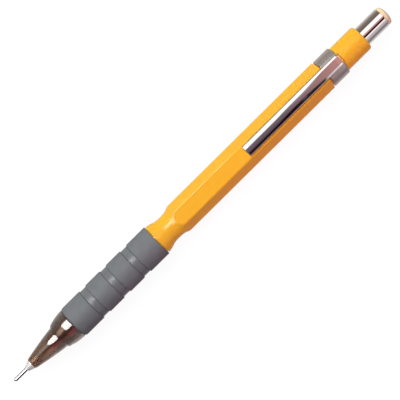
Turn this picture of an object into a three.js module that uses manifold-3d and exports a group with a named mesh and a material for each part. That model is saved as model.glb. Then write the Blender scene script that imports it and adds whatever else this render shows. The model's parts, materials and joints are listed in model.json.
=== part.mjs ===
// A push-button mechanical pencil for 0.5 mm leads: hexagonal barrel, grooved rubber grip, see-through
// nose, pocket clip, and the spring-loaded three-jaw chuck that feeds the lead.
//
// Millimetres, +Z up. The pencil lies along X, its lead towards -X and its clip on top.
// Every length along the pencil is a station, counted from the lead's tip, and every radius is from
// the pencil's axis. The whole pencil is moved into place at the end of the file.

import * as THREE from "three";
import { mergeVertices } from "three/addons/utils/BufferGeometryUtils.js";
import Module from "manifold-3d";

const wasm = await Module();
wasm.setup();

// ---------- driving dimensions ----------

const LENGTH = 144;
const FIT_GAP = 0.05; // between pieces that touch or slide on each other
const OUTER_STEPS = 36; // sides of a round piece on the outside
const INNER_STEPS = 24; // sides of a round piece in the mechanism
const LEAD_STEPS = 12;

const LEAD = { radius: 0.28, length: 60, point: 0.12 };
const SLEEVE = { front: 0.35, back: 7.5, radius: 0.53, bore: 0.32 };
const TIP = { front: 4.7, rim: 6.7, back: 9.6, noseRadius: 0.9, rimRadius: 1.5, spigot: 1.3 };
const RETAINER = { front: 7.7, back: 9.5, radius: 0.97, bore: 0.31 };

const NOSE = {
  front: 6.75, step: 17.4, shoulder: 22.65, back: 31,
  frontRadius: 1.7, coneRadius: 3.42, stepRadius: 3.88, shoulderRadius: 4.82, threadRadius: 3.1,
  tipBore: 1.35, jawBore: 1.65, clutchBore: 2, sleeveBore: 2.5,
  jawRoom: 9.8, clutchRoom: 14, sleeveRoom: 17.9,
};

const GRIP = { front: 22.75, back: 55.05, radius: 5, bore: 4.2, bevel: 0.35 };
const GROOVE = { centres: [31.1, 38.95, 46.8], radius: 4.72, top: 2.5, floor: 1.7 };

const HEX = { front: 63.6, back: 119.85, cornerRadius: 4.625, rounding: 0.8, edgeBevel: 0.3 };
const BARREL = {
  front: 22.85, gripEnd: 55.2, gripTube: 4.15, collar: 4.8, waist: 3.89, waistAt: 59.8, neckEnd: 62.2,
  neckEndRadius: 4.1, frontBore: 3.6, frontBoreEnd: 32.4, bore: 2.75, rearBore: 3.4, rearBoreStart: 108,
};
const INSERT = { front: 23, back: 32.3, radius: 3.55, bore: 3.15 };

const RING = { front: 120, back: 125.6, radius: 4.5, bore: 3.38, bevel: 0.3 };
const TAIL = {
  front: 108.5, shoulder: 125.7, back: 134.4, radius: 4, spigot: 3.3, rounding: 1,
  tubeBore: 2.25, buttonBore: 3.05, buttonRoom: 126,
};
const CLIP = {
  freeEnd: 89.5, width: 3.46, thickness: 0.55, freeHeight: 4.45, rootHeight: 4.65,
  padAt: 92.2, padLength: 2.4, padHeight: 4.17, bendStart: 124.6,
  tangFront: 125.35, tangBack: 125.9, tangHeight: 3.45, tangWidth: 2.7,
};
const CLIP_SLOT = { front: 124.9, back: 126.2, height: 3.36, width: 3 };

const JAW = {
  count: 3, front: 14.2, coneBack: 17.2, back: 22, frontRadius: 1.36, backRadius: 1.07, shank: 0.98,
  bore: 0.3, slit: 0.16,
};
const CLUTCH = { front: 15, back: 18, radius: 1.9, coneGap: 0.03 };
const STEM = { front: 22.1, back: 37.9, radius: 1.1, bore: 0.45 };
const MECHANISM = {
  front: 18.05, lipBack: 20, back: 36.5, radius: 2.4, lipBore: 1.25, bore: 2.1,
  flangeFront: 31.1, flangeBack: 32.25, flange: 3.05,
};
const SPRING = {
  front: 20.2, back: 34.05, radius: 1.62, wire: 0.17, turns: 11, stepsPerTurn: 10, sides: 5,
};
const CONNECTOR = {
  front: 34.2, flangeBack: 35.4, back: 41.5, flange: 1.95, spigot: 1.55,
  stemBore: 1.15, stemEnd: 38, leadBore: 0.5,
};
const TUBE = { front: 35.5, back: 131, radius: 2, bore: 1.6 };
const SPARE = { front: 62, count: 3, fan: THREE.MathUtils.degToRad(27) };

const HOLDER = {
  front: 126.5, shoulder: 131.1, back: 135, plug: 1.55, plugBore: 1.1, plugBoreEnd: 130.4,
  cup: 2.35, cupBore: 2.05, cupFloor: 132,
};
const ERASER = { front: 132.1, back: 139.8, radius: 2, rounding: 0.5 };
const BUTTON = { front: 130.2, back: 142.3, radius: 2.95, bore: 2.42, bevel: 0.2 };
const DOME = { front: 142.35, edge: 142.95, radius: 2.86, plug: 2.37, plugFront: 140.5, bevel: 0.3 };

// ---------- materials ----------

const material = (color, roughness, metalness = 0) =>
  new THREE.MeshStandardMaterial({ color, roughness, metalness });

const ORANGE_PLASTIC = material(0xfaae3a, 0.3);
const GREY_RUBBER = material(0x6f7276, 0.75);
const SMOKE_PLASTIC = material(0x6b4636, 0.15);
const CHROME = material(0xd8d4d4, 0.08, 1);
const GREY_METAL = material(0x8f8780, 0.35, 1);
const BRASS = material(0xb8904a, 0.3, 1);
const STEEL = material(0xc9c9c6, 0.25, 1);
const BLACK_PLASTIC = material(0x1d1d1f, 0.45);
const NATURAL_PLASTIC = material(0xe9e4d8, 0.4);
const BLACK_RUBBER = material(0x232323, 0.8);
const WHITE_ERASER = material(0xf4f2ee, 0.85);
const PALE_PLASTIC = material(0xf8d9a6, 0.2);
const GRAPHITE = material(0x2c2c30, 0.5);

// ---------- shape helpers ----------

const point = (station, radius) => new THREE.Vector2(station, radius);

// Turns a closed outline of [station, radius] points about the pencil's axis.
function turned(outline, steps) {
  const profile = outline.map(({ x: station, y: radius }) => new THREE.Vector2(radius, station));
  return new THREE.LatheGeometry(profile, steps).rotateZ(-Math.PI / 2);
}

// A hollow round piece: its outside and its bore, each listed from front to back.
function hollow(outside, bore, steps) {
  return turned([...outside, ...bore.toReversed(), outside[0]], steps);
}

// A round piece with no bore. Its outside is listed from front to back.
function filled(outside, steps) {
  return turned([point(outside[0].x, 0), ...outside, point(outside.at(-1).x, 0)], steps);
}

function tube(front, back, radius, bore, steps) {
  const wall = (distance) => [point(front, distance), point(back, distance)];
  return hollow(wall(radius), wall(bore), steps);
}

// A quarter circle from a cylinder of the given radius into the flat face behind it.
function roundedBackEdge(back, radius, rounding, divisions) {
  return Array.from({ length: divisions + 1 }, (_, i) => {
    const turn = (i / divisions) * (Math.PI / 2);
    return point(back - rounding * (1 - Math.sin(turn)), radius - rounding * (1 - Math.cos(turn)));
  });
}

// A box from one corner to the other, in stations, sideways distance and height above the axis.
function block(front, back, width, low, high) {
  const box = new THREE.BoxGeometry(back - front, width, high - low);
  return box.translate((front + back) / 2, 0, (low + high) / 2);
}

// An outline drawn in stations and heights, as thick as the width, across the pencil.
function crossways(shape, width, curveSegments) {
  return new THREE.ExtrudeGeometry(shape, { depth: width, bevelEnabled: false, curveSegments })
    .rotateX(Math.PI / 2)
    .translate(0, width / 2, 0);
}

// An outline drawn across the pencil, pulled along it from one station to another.
function lengthways(shape, front, back, curveSegments) {
  return new THREE.ExtrudeGeometry(shape, { depth: back - front, bevelEnabled: false, curveSegments })
    .rotateY(Math.PI / 2)
    .rotateX(Math.PI / 2)
    .translate(front, 0, 0);
}

// ---------- joining and cutting ----------

function toSolid(geometry) {
  const bare = geometry.clone().deleteAttribute("normal").deleteAttribute("uv");
  const { index, attributes } = mergeVertices(bare, 1e-4);
  const triangles = [];
  for (let i = 0; i < index.count; i += 3) {
    const corners = [index.getX(i), index.getX(i + 1), index.getX(i + 2)];
    if (new Set(corners).size === 3) triangles.push(...corners);
  }
  return new wasm.Manifold(
    new wasm.Mesh({
      numProp: 3,
      vertProperties: Float32Array.from(attributes.position.array),
      triVerts: Uint32Array.from(triangles),
    }),
  );
}

function toGeometry(solid) {
  const { vertProperties, triVerts } = solid.getMesh();
  const geometry = new THREE.BufferGeometry();
  geometry.setAttribute("position", new THREE.BufferAttribute(vertProperties, 3));
  geometry.setIndex(new THREE.BufferAttribute(triVerts, 1));
  geometry.computeVertexNormals();
  return geometry;
}

// ---------- nose ----------

function leadSleeve() {
  return tube(SLEEVE.front, SLEEVE.back, SLEEVE.radius, SLEEVE.bore, INNER_STEPS);
}

function tipCone() {
  const rimFront = TIP.rim - 0.35;
  const pipeBore = SLEEVE.radius + FIT_GAP;
  const retainerBore = RETAINER.radius + FIT_GAP;
  const retainerRoom = RETAINER.front - FIT_GAP;
  const outside = [
    point(TIP.front, TIP.noseRadius - 0.12),
    point(TIP.front + 0.15, TIP.noseRadius),
    point(rimFront, TIP.rimRadius - 0.1),
    point(rimFront + 0.08, TIP.rimRadius),
    point(TIP.rim, TIP.rimRadius),
    point(TIP.rim, TIP.spigot),
    point(TIP.back, TIP.spigot),
  ];
  const bore = [
    point(TIP.front, pipeBore),
    point(retainerRoom, pipeBore),
    point(retainerRoom, retainerBore),
    point(TIP.back, retainerBore),
  ];
  return hollow(outside, bore, INNER_STEPS);
}

function leadRetainer() {
  return tube(RETAINER.front, RETAINER.back, RETAINER.radius, RETAINER.bore, INNER_STEPS);
}

// A slightly bulging cone, a step, a second bulging stretch, then the threaded spigot.
function noseCone() {
  const cone = new THREE.QuadraticBezierCurve(
    point(NOSE.front, NOSE.frontRadius),
    point((NOSE.front + NOSE.step) / 2, NOSE.coneRadius - 0.7),
    point(NOSE.step - 0.5, NOSE.coneRadius),
  );
  const swell = new THREE.QuadraticBezierCurve(
    point(NOSE.step + 0.15, NOSE.stepRadius),
    point(NOSE.step + 2.6, NOSE.shoulderRadius - 0.02),
    point(NOSE.shoulder, NOSE.shoulderRadius),
  );
  const outside = [
    ...cone.getPoints(5),
    point(NOSE.step, NOSE.coneRadius - 0.06),
    point(NOSE.step, NOSE.stepRadius - 0.15),
    ...swell.getPoints(5),
    point(NOSE.shoulder, NOSE.threadRadius),
    point(NOSE.back, NOSE.threadRadius),
  ];
  const bore = [
    point(NOSE.front, NOSE.tipBore),
    point(NOSE.jawRoom, NOSE.tipBore),
    point(NOSE.jawRoom, NOSE.jawBore),
    point(NOSE.clutchRoom, NOSE.jawBore),
    point(NOSE.clutchRoom, NOSE.clutchBore),
    point(NOSE.sleeveRoom, NOSE.clutchBore),
    point(NOSE.sleeveRoom, NOSE.sleeveBore),
    point(NOSE.back, NOSE.sleeveBore),
  ];
  return hollow(outside, bore, OUTER_STEPS);
}

// ---------- barrel, grip and tail ----------

function groove(centre) {
  return [
    point(centre - GROOVE.top / 2, GRIP.radius),
    point(centre - GROOVE.floor / 2, GROOVE.radius),
    point(centre + GROOVE.floor / 2, GROOVE.radius),
    point(centre + GROOVE.top / 2, GRIP.radius),
  ];
}

function gripSleeve() {
  const outside = [
    point(GRIP.front, GRIP.radius - GRIP.bevel),
    point(GRIP.front + GRIP.bevel, GRIP.radius),
    ...GROOVE.centres.flatMap(groove),
    point(GRIP.back - GRIP.bevel / 2, GRIP.radius),
    point(GRIP.back, GRIP.radius - GRIP.bevel / 2),
  ];
  return hollow(outside, [point(GRIP.front, GRIP.bore), point(GRIP.back, GRIP.bore)], OUTER_STEPS);
}

// The hexagon's section, with a flat on top and below, and rounded edges.
function hexagon() {
  const shape = new THREE.Shape();
  const edge = HEX.cornerRadius - HEX.rounding;
  for (let i = 0; i < 6; i++) {
    const angle = (i * Math.PI) / 3;
    const [x, y] = [edge * Math.cos(angle), edge * Math.sin(angle)];
    shape.absarc(x, y, HEX.rounding, angle - Math.PI / 6, angle + Math.PI / 6);
  }
  shape.closePath();
  return shape;
}

// One moulding: a tube under the grip, a collar, a waisted round neck, and the hexagon.
function barrel() {
  const neck = new THREE.SplineCurve([
    point(BARREL.gripEnd + 0.2, BARREL.collar),
    point(BARREL.gripEnd + 1.8, BARREL.collar - 0.45),
    point(BARREL.waistAt, BARREL.waist),
    point(BARREL.neckEnd, BARREL.neckEndRadius),
  ]);
  const beyondCorners = HEX.cornerRadius + 0.1;
  const outside = [
    point(BARREL.front, BARREL.gripTube),
    point(BARREL.gripEnd, BARREL.gripTube),
    point(BARREL.gripEnd, BARREL.collar - 0.1),
    ...neck.getPoints(10),
    point(HEX.front, beyondCorners),
    point(HEX.back - HEX.edgeBevel, beyondCorners),
    point(HEX.back, HEX.cornerRadius - HEX.edgeBevel),
  ];
  const bore = [
    point(BARREL.front, BARREL.frontBore),
    point(BARREL.frontBoreEnd, BARREL.frontBore),
    point(BARREL.frontBoreEnd, BARREL.bore),
    point(BARREL.rearBoreStart, BARREL.bore),
    point(BARREL.rearBoreStart, BARREL.rearBore),
    point(HEX.back, BARREL.rearBore),
  ];
  const reach = 2 * HEX.cornerRadius; // past the round part's surface on every side
  const roundPart = block(BARREL.front - 1, BARREL.waistAt, 2 * reach, -reach, reach);
  const hexPart = lengthways(hexagon(), BARREL.waistAt - 1, HEX.back + 1, 4);
  const envelope = toSolid(roundPart).add(toSolid(hexPart));
  return toGeometry(toSolid(hollow(outside, bore, OUTER_STEPS)).intersect(envelope));
}

function threadInsert() {
  return tube(INSERT.front, INSERT.back, INSERT.radius, INSERT.bore, OUTER_STEPS);
}

function clipSlot() {
  const { front, back, width, height } = CLIP_SLOT;
  return toSolid(block(front, back, width, height, 2 * RING.radius));
}

function clipRing() {
  const outside = [
    point(RING.front, RING.radius - RING.bevel / 2),
    point(RING.front + RING.bevel / 2, RING.radius),
    point(RING.back - RING.bevel, RING.radius),
    point(RING.back, RING.radius - RING.bevel),
  ];
  const bore = [point(RING.front, RING.bore), point(RING.back, RING.bore)];
  return toGeometry(toSolid(hollow(outside, bore, OUTER_STEPS)).subtract(clipSlot()));
}

function tailCap() {
  const outside = [
    point(TAIL.front, TAIL.spigot),
    point(TAIL.shoulder, TAIL.spigot),
    point(TAIL.shoulder, TAIL.radius),
    ...roundedBackEdge(TAIL.back, TAIL.radius, TAIL.rounding, 3).slice(0, -1),
    point(TAIL.back, TAIL.radius - TAIL.rounding + 0.25),
  ];
  const bore = [
    point(TAIL.front, TAIL.tubeBore),
    point(TAIL.buttonRoom, TAIL.tubeBore),
    point(TAIL.buttonRoom, TAIL.buttonBore),
    point(TAIL.back - 0.15, TAIL.buttonBore),
    point(TAIL.back, TAIL.buttonBore + 0.1),
  ];
  return toGeometry(toSolid(hollow(outside, bore, OUTER_STEPS)).subtract(clipSlot()));
}

// A strip over the barrel's top flat, with a pad that touches the barrel near its free end and a
// tang that turns down into the slot behind the ring.
function clip() {
  const padFront = CLIP.padAt - CLIP.padLength / 2;
  const padBack = CLIP.padAt + CLIP.padLength / 2;
  const rootTop = CLIP.rootHeight + CLIP.thickness;
  const freeTop = CLIP.freeHeight + CLIP.thickness;
  const padDip = 2 * CLIP.padHeight - CLIP.freeHeight;
  const arm = new THREE.Shape();
  arm.moveTo(CLIP.freeEnd, CLIP.freeHeight);
  arm.lineTo(padFront, CLIP.freeHeight);
  arm.quadraticCurveTo(CLIP.padAt, padDip, padBack, CLIP.freeHeight);
  arm.lineTo(CLIP.bendStart, CLIP.rootHeight);
  arm.quadraticCurveTo(CLIP.tangFront, CLIP.rootHeight, CLIP.tangFront, CLIP.rootHeight - 0.1);
  arm.lineTo(CLIP.tangBack, CLIP.rootHeight - 0.1);
  arm.quadraticCurveTo(CLIP.tangBack, rootTop, CLIP.bendStart, rootTop);
  arm.lineTo(CLIP.freeEnd + 0.15, freeTop);
  arm.lineTo(CLIP.freeEnd, freeTop - 0.15);
  const tang = block(CLIP.tangFront, CLIP.tangBack, CLIP.tangWidth, CLIP.tangHeight, CLIP.rootHeight);
  return toGeometry(toSolid(crossways(arm, CLIP.width, 5)).add(toSolid(tang)));
}

// ---------- mechanism ----------

// A third of the round, less half a slit on each side, pointing along the jaw's own direction.
function jawSector(direction) {
  const halfAngle = Math.PI / JAW.count;
  const apex = JAW.slit / 2 / Math.sin(halfAngle);
  const reach = 4 * JAW.frontRadius;
  const corner = (distance, angle) => [
    apex * Math.cos(direction) + distance * Math.cos(angle),
    apex * Math.sin(direction) + distance * Math.sin(angle),
  ];
  const shape = new THREE.Shape();
  shape.moveTo(...corner(0, 0));
  shape.lineTo(...corner(reach, direction - halfAngle));
  shape.lineTo(...corner(reach, direction + halfAngle));
  return lengthways(shape, JAW.front - 1, JAW.back + 1, 1);
}

function chuckJaw(direction) {
  const outside = [
    point(JAW.front, JAW.frontRadius - 0.12),
    point(JAW.front + 0.12, JAW.frontRadius),
    point(JAW.coneBack, JAW.backRadius),
    point(JAW.coneBack + 0.2, JAW.shank),
    point(JAW.back, JAW.shank),
  ];
  const round = hollow(outside, [point(JAW.front, JAW.bore), point(JAW.back, JAW.bore)], INNER_STEPS);
  return toGeometry(toSolid(round).intersect(toSolid(jawSector(direction))));
}

// Its bore is the jaws' own taper, so sliding back on them shuts them.
function clutchRing() {
  const taper = (JAW.frontRadius - JAW.backRadius) / (JAW.coneBack - JAW.front);
  const mouth = JAW.frontRadius - taper * (CLUTCH.front - JAW.front) + CLUTCH.coneGap;
  const throat = JAW.backRadius + CLUTCH.coneGap;
  const bore = [point(CLUTCH.front, mouth), point(JAW.coneBack, throat), point(CLUTCH.back, throat)];
  const outside = [
    point(CLUTCH.front, CLUTCH.radius - 0.15),
    point(CLUTCH.front + 0.15, CLUTCH.radius),
    point(CLUTCH.back, CLUTCH.radius),
  ];
  return hollow(outside, bore, INNER_STEPS);
}

function chuckStem() {
  return tube(STEM.front, STEM.back, STEM.radius, STEM.bore, INNER_STEPS);
}

// The lip at its front holds the spring, and the flange is clamped between the nose and the barrel.
function mechanismSleeve() {
  const outside = [
    point(MECHANISM.front, MECHANISM.radius),
    point(MECHANISM.flangeFront, MECHANISM.radius),
    point(MECHANISM.flangeFront, MECHANISM.flange),
    point(MECHANISM.flangeBack, MECHANISM.flange),
    point(MECHANISM.flangeBack, MECHANISM.radius),
    point(MECHANISM.back, MECHANISM.radius),
  ];
  const bore = [
    point(MECHANISM.front, MECHANISM.lipBore),
    point(MECHANISM.lipBack, MECHANISM.lipBore),
    point(MECHANISM.lipBack, MECHANISM.bore),
    point(MECHANISM.back, MECHANISM.bore),
  ];
  return hollow(outside, bore, INNER_STEPS);
}

class Helix extends THREE.Curve {
  getPoint(share) {
    const angle = share * SPRING.turns * 2 * Math.PI;
    const run = SPRING.back - SPRING.front - 2 * SPRING.wire;
    return new THREE.Vector3(
      SPRING.front + SPRING.wire + share * run,
      SPRING.radius * Math.cos(angle),
      SPRING.radius * Math.sin(angle),
    );
  }
}

function returnSpring() {
  const wire = new THREE.Shape();
  for (let i = 0; i < SPRING.sides; i++) {
    const angle = (i / SPRING.sides) * 2 * Math.PI;
    const place = [SPRING.wire * Math.cos(angle), SPRING.wire * Math.sin(angle)];
    if (i === 0) wire.moveTo(...place);
    else wire.lineTo(...place);
  }
  return new THREE.ExtrudeGeometry(wire, {
    steps: SPRING.turns * SPRING.stepsPerTurn,
    extrudePath: new Helix(),
  });
}

function tubeConnector() {
  const outside = [
    point(CONNECTOR.front, CONNECTOR.flange),
    point(CONNECTOR.flangeBack, CONNECTOR.flange),
    point(CONNECTOR.flangeBack, CONNECTOR.spigot),
    point(CONNECTOR.back - 0.3, CONNECTOR.spigot),
    point(CONNECTOR.back, CONNECTOR.spigot - 0.3),
  ];
  const bore = [
    point(CONNECTOR.front, CONNECTOR.stemBore),
    point(CONNECTOR.stemEnd, CONNECTOR.stemBore),
    point(CONNECTOR.stemEnd, CONNECTOR.leadBore),
    point(CONNECTOR.back - 0.8, CONNECTOR.leadBore),
    point(CONNECTOR.back, CONNECTOR.spigot - 0.5),
  ];
  return hollow(outside, bore, INNER_STEPS);
}

function leadTube() {
  return tube(TUBE.front, TUBE.back, TUBE.radius, TUBE.bore, INNER_STEPS);
}

// A lead with its front at station 0, on the axis.
function lead() {
  const outside = [
    point(0, LEAD.radius - LEAD.point),
    point(LEAD.point, LEAD.radius),
    point(LEAD.length, LEAD.radius),
  ];
  return filled(outside, LEAD_STEPS);
}

// ---------- button and eraser ----------

function eraserHolder() {
  const outside = [
    point(HOLDER.front, HOLDER.plug - 0.2),
    point(HOLDER.front + 0.3, HOLDER.plug),
    point(HOLDER.shoulder, HOLDER.plug),
    point(HOLDER.shoulder, HOLDER.cup),
    point(HOLDER.back, HOLDER.cup),
    point(HOLDER.back, HOLDER.cupBore),
    point(HOLDER.cupFloor, HOLDER.cupBore),
    point(HOLDER.cupFloor, 0),
  ];
  const plugHollow = [
    point(HOLDER.plugBoreEnd, 0),
    point(HOLDER.plugBoreEnd, HOLDER.plugBore),
    point(HOLDER.front, HOLDER.plugBore),
  ];
  return turned([...plugHollow, ...outside], INNER_STEPS);
}

function eraser() {
  const outside = [
    point(ERASER.front, ERASER.radius - 0.15),
    point(ERASER.front + 0.15, ERASER.radius),
    ...roundedBackEdge(ERASER.back, ERASER.radius, ERASER.rounding, 3),
  ];
  return filled(outside, INNER_STEPS);
}

function buttonCap() {
  const outside = [
    point(BUTTON.front, BUTTON.radius - BUTTON.bevel),
    point(BUTTON.front + BUTTON.bevel, BUTTON.radius),
    point(BUTTON.back - BUTTON.bevel, BUTTON.radius),
    point(BUTTON.back, BUTTON.radius - BUTTON.bevel),
  ];
  return hollow(outside, [point(BUTTON.front, BUTTON.bore), point(BUTTON.back, BUTTON.bore)], OUTER_STEPS);
}

// A plug pressed into the button's open end, with a low dome outside.
function buttonEnd() {
  const dome = new THREE.QuadraticBezierCurve(
    point(DOME.edge, DOME.radius - 0.03),
    point(LENGTH - 0.1, DOME.radius - 0.35),
    point(LENGTH, 0),
  );
  const outline = [
    point(DOME.plugFront, 0),
    point(DOME.plugFront, DOME.plug - DOME.bevel),
    point(DOME.plugFront + DOME.bevel, DOME.plug),
    point(DOME.front, DOME.plug),
    point(DOME.front, DOME.radius),
    ...dome.getPoints(7),
  ];
  return turned(outline, OUTER_STEPS);
}

// ---------- assembly ----------

function piece(name, geometry, surface) {
  const mesh = new THREE.Mesh(geometry, surface);
  mesh.name = name;
  return mesh;
}

function group(...members) {
  return new THREE.Group().add(...members);
}

const nose = group(
  piece("lead_sleeve", leadSleeve(), STEEL),
  piece("tip_cone", tipCone(), STEEL),
  piece("lead_retainer", leadRetainer(), BLACK_RUBBER),
  piece("nose_cone", noseCone(), SMOKE_PLASTIC),
);

const housing = group(
  piece("barrel", barrel(), ORANGE_PLASTIC),
  piece("grip_sleeve", gripSleeve(), GREY_RUBBER),
  piece("thread_insert", threadInsert(), BRASS),
  piece("mechanism_sleeve", mechanismSleeve(), BRASS),
  piece("clip_ring", clipRing(), GREY_METAL),
  piece("clip", clip(), CHROME),
  piece("tail_cap", tailCap(), ORANGE_PLASTIC),
);

const plunger = group(
  piece("chuck_stem", chuckStem(), BRASS),
  piece("clutch_ring", clutchRing(), BRASS),
  piece("return_spring", returnSpring(), STEEL),
  piece("tube_connector", tubeConnector(), BLACK_PLASTIC),
  piece("lead_tube", leadTube(), NATURAL_PLASTIC),
  piece("writing_lead", lead(), GRAPHITE),
);

for (let i = 0; i < JAW.count; i++) {
  const direction = Math.PI / 2 + (i * 2 * Math.PI) / JAW.count;
  plunger.add(piece(`chuck_jaw_${i + 1}`, chuckJaw(direction), BRASS));
}

// The spare leads lie side by side in the bottom of the lead tube.
for (let i = 0; i < SPARE.count; i++) {
  const spare = piece(`spare_lead_${i + 1}`, lead(), GRAPHITE);
  const angle = (i - (SPARE.count - 1) / 2) * SPARE.fan;
  const offset = TUBE.bore - LEAD.radius - FIT_GAP;
  spare.position.set(SPARE.front, offset * Math.sin(angle), -offset * Math.cos(angle));
  plunger.add(spare);
}

const button = group(
  piece("eraser_holder", eraserHolder(), STEEL),
  piece("eraser", eraser(), WHITE_ERASER),
  piece("button_cap", buttonCap(), CHROME),
  piece("button_end", buttonEnd(), PALE_PLASTIC),
);

// The middle of the pencil's length comes over the origin, and the grip rests on the ground.
const pencil = group(nose, housing, plunger, button);
pencil.position.set(-LENGTH / 2, 0, GRIP.radius);

export default pencil;
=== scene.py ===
"""The looks of a mechanical pencil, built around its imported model.

The pencil lies along X with its lead towards -X and its clip on top. Lengths along it are stations, in
millimetres from the lead's tip; radii and heights are from its axis. place() turns them into metres.
An outline is a list of (station, radius) corners, with a third number where a corner is rounded.
"""

import json
import math

import bmesh
import bpy
from mathutils import Matrix, Vector

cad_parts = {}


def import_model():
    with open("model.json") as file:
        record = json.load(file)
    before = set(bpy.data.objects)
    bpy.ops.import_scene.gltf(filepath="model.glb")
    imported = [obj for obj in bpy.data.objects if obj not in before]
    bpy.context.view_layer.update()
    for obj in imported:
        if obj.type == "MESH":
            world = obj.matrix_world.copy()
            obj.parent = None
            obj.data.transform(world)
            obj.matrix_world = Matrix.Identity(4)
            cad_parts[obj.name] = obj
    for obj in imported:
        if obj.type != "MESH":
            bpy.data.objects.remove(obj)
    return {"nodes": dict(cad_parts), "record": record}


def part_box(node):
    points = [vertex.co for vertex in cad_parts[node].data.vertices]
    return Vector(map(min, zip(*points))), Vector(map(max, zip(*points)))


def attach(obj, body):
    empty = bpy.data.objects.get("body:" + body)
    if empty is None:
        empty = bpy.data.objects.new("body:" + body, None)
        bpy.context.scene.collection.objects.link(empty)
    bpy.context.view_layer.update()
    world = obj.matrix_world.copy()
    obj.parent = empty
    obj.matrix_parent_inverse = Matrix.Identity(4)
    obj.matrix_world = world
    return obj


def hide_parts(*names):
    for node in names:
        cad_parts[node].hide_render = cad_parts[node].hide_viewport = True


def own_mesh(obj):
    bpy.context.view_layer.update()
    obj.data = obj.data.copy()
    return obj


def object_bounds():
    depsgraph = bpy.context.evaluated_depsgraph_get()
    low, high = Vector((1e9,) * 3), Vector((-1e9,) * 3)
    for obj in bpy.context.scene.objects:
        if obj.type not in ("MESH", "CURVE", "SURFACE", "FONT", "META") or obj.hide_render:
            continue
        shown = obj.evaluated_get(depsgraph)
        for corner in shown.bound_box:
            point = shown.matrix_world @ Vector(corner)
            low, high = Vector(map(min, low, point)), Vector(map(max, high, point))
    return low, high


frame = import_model()
cad_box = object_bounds()

MM = 0.001
LEAD_TIP_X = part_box("writing_lead")[0].x
AXIS_Z = sum(corner.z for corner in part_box("grip_sleeve")) / 2
BODY = {n: b for b, nodes in frame["record"]["behaviour"]["bodies"].items() for n in nodes}


# ---------- places and sizes from the frame ----------


def place(station, side, height):
    """A point of the pencil, in metres, from its three places in mm."""
    return Vector((LEAD_TIP_X + station * MM, side * MM, AXIS_Z + height * MM))


def span(node):
    """A round node's front station, back station and radius, in mm."""
    low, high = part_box(node)
    return (low.x - LEAD_TIP_X) / MM, (high.x - LEAD_TIP_X) / MM, (high.y - low.y) / 2 / MM


# ---------- mesh tools ----------

SHARP_ANGLE = math.radians(38)
SAME_POINT, ON_AXIS = 1e-8, 1e-6
MOST_SETBACK = 0.48  # of an edge, so that the roundings at its two ends don't meet


def finish_mesh(name, bm):
    """Makes the piece: normals out, smooth faces, and sharp edges where the surface turns hard."""
    bmesh.ops.remove_doubles(bm, verts=bm.verts, dist=SAME_POINT)
    bmesh.ops.recalc_face_normals(bm, faces=bm.faces)
    for face in bm.faces:
        face.smooth = True
    for edge in bm.edges:
        edge.smooth = len(edge.link_faces) == 2 and edge.calc_face_angle() < SHARP_ANGLE
    mesh = bpy.data.meshes.new(name)
    bm.to_mesh(mesh)
    bm.free()
    piece = bpy.data.objects.new(name, mesh)
    bpy.context.scene.collection.objects.link(piece)
    return piece


def soften(corners, segments=4):
    """Rounds an outline's corners. A corner is (station, radius) or (station, radius, setback)."""
    outline = []
    for i, corner in enumerate(corners):
        here = Vector(corner[:2])
        setback = corner[2] if len(corner) > 2 else 0
        if not setback:
            outline.append(tuple(here))
            continue
        before = Vector(corners[i - 1][:2]) - here
        after = Vector(corners[(i + 1) % len(corners)][:2]) - here
        start = here + before.normalized() * min(setback, before.length * MOST_SETBACK)
        end = here + after.normalized() * min(setback, after.length * MOST_SETBACK)
        for k in range(segments + 1):
            t = k / segments
            outline.append(tuple((1 - t) ** 2 * start + 2 * t * (1 - t) * here + t * t * end))
    return outline


def curve(start, pull, end, steps):
    """Points of a quadratic curve from start to end, each (station, radius)."""
    a, b, c = Vector(start), Vector(pull), Vector(end)
    shares = [i / steps for i in range(steps + 1)]
    return [tuple((1 - t) ** 2 * a + 2 * t * (1 - t) * b + t * t * c) for t in shares]


def even(count):
    """Angles that divide a turn evenly."""
    return [2 * math.pi * i / count for i in range(count)]


def spin(name, outline, angles=even(128), warp=None):
    """Turns an outline of (station, radius) points about the axis. warp gives a point its own radius."""
    bm = bmesh.new()
    rings = []
    for station, radius in outline:
        if radius < ON_AXIS:
            rings.append([bm.verts.new(place(station, 0, 0))])
            continue
        ring = []
        for angle in angles:
            own = warp(station, radius, angle) if warp else radius
            ring.append(bm.verts.new(place(station, own * math.cos(angle), own * math.sin(angle))))
        rings.append(ring)
    for near, far in zip(rings, rings[1:] + rings[:1]):
        if len(near) == 1 and len(far) == 1:
            continue
        for i in range(len(angles)):
            j = (i + 1) % len(angles)
            corners = [near[i % len(near)], near[j % len(near)], far[j % len(far)], far[i % len(far)]]
            bm.faces.new(list(dict.fromkeys(corners)))
    return finish_mesh(name, bm)


def skin(bm, rings):
    """Joins rings of points into a tube and closes its two ends."""
    for near, far in zip(rings, rings[1:]):
        for i in range(len(near)):
            j = (i + 1) % len(near)
            bm.faces.new([near[i], near[j], far[j], far[i]])
    bm.faces.new(rings[0])
    bm.faces.new(rings[-1])


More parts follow.
